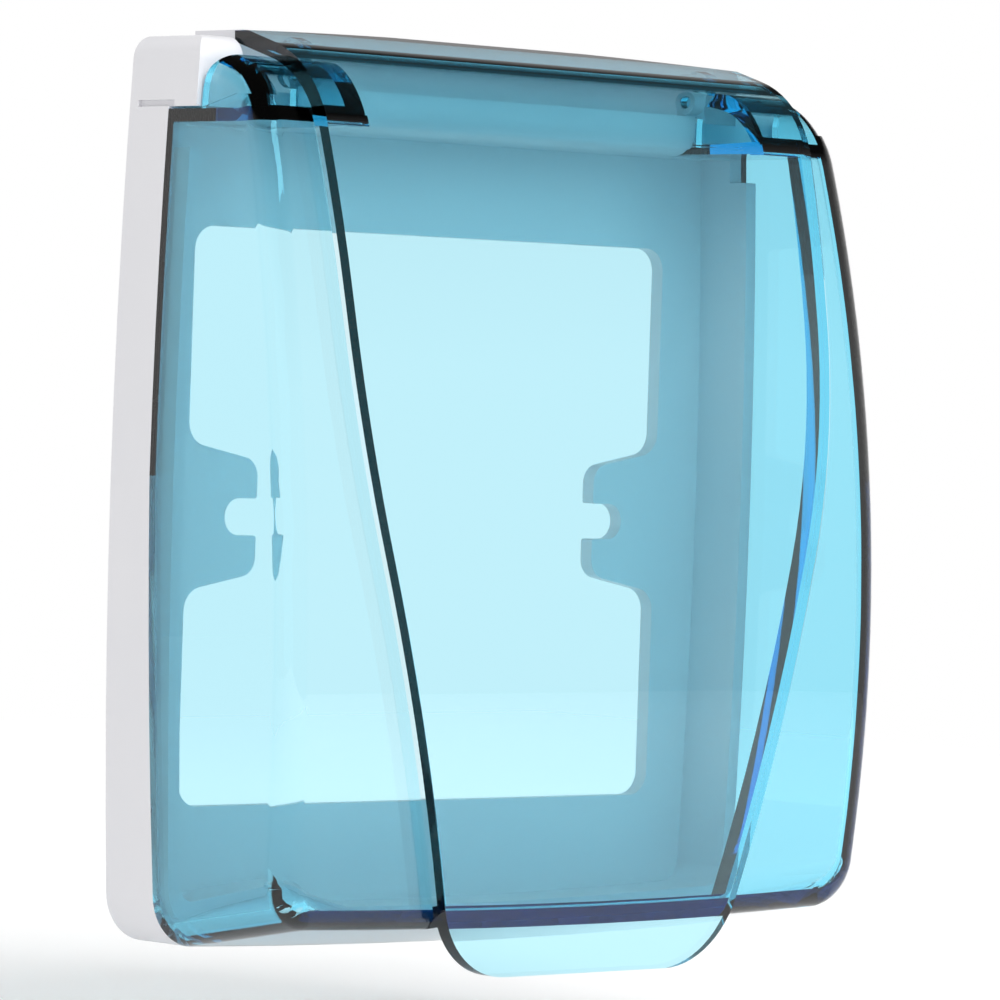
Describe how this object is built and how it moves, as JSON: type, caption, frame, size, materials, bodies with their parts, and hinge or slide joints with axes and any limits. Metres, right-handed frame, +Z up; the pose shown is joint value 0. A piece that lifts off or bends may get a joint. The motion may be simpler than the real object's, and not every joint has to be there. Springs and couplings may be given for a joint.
{
  "type": "switch splash cover",
  "caption": "Hinged clear hood over a white base frame that guards a wall switch from splashes and is lifted by a finger tab.",
  "frame": {"origin": "on the wall plane, midway between the two wall box screws", "axes": "+X to the right seen from the front, +Y into the wall, +Z up"},
  "size_m": [0.1026, 0.0359, 0.1153],
  "materials": {
    "white_plastic": "smooth moulded white plastic",
    "clear_blue_plastic": "clear blue moulded plastic"
  },
  "bodies": {
    "frame": {"base_frame": "white_plastic"},
    "lid": {"splash_lid": "clear_blue_plastic"}
  },
  "joints": [
    {"name": "lid_hinge", "type": "hinge", "parent": "frame", "child": "lid", "pos_m": [0, -0.013, 0.0551], "axis": [-1, 0, 0], "range_deg": [0, 85]}
  ]
}
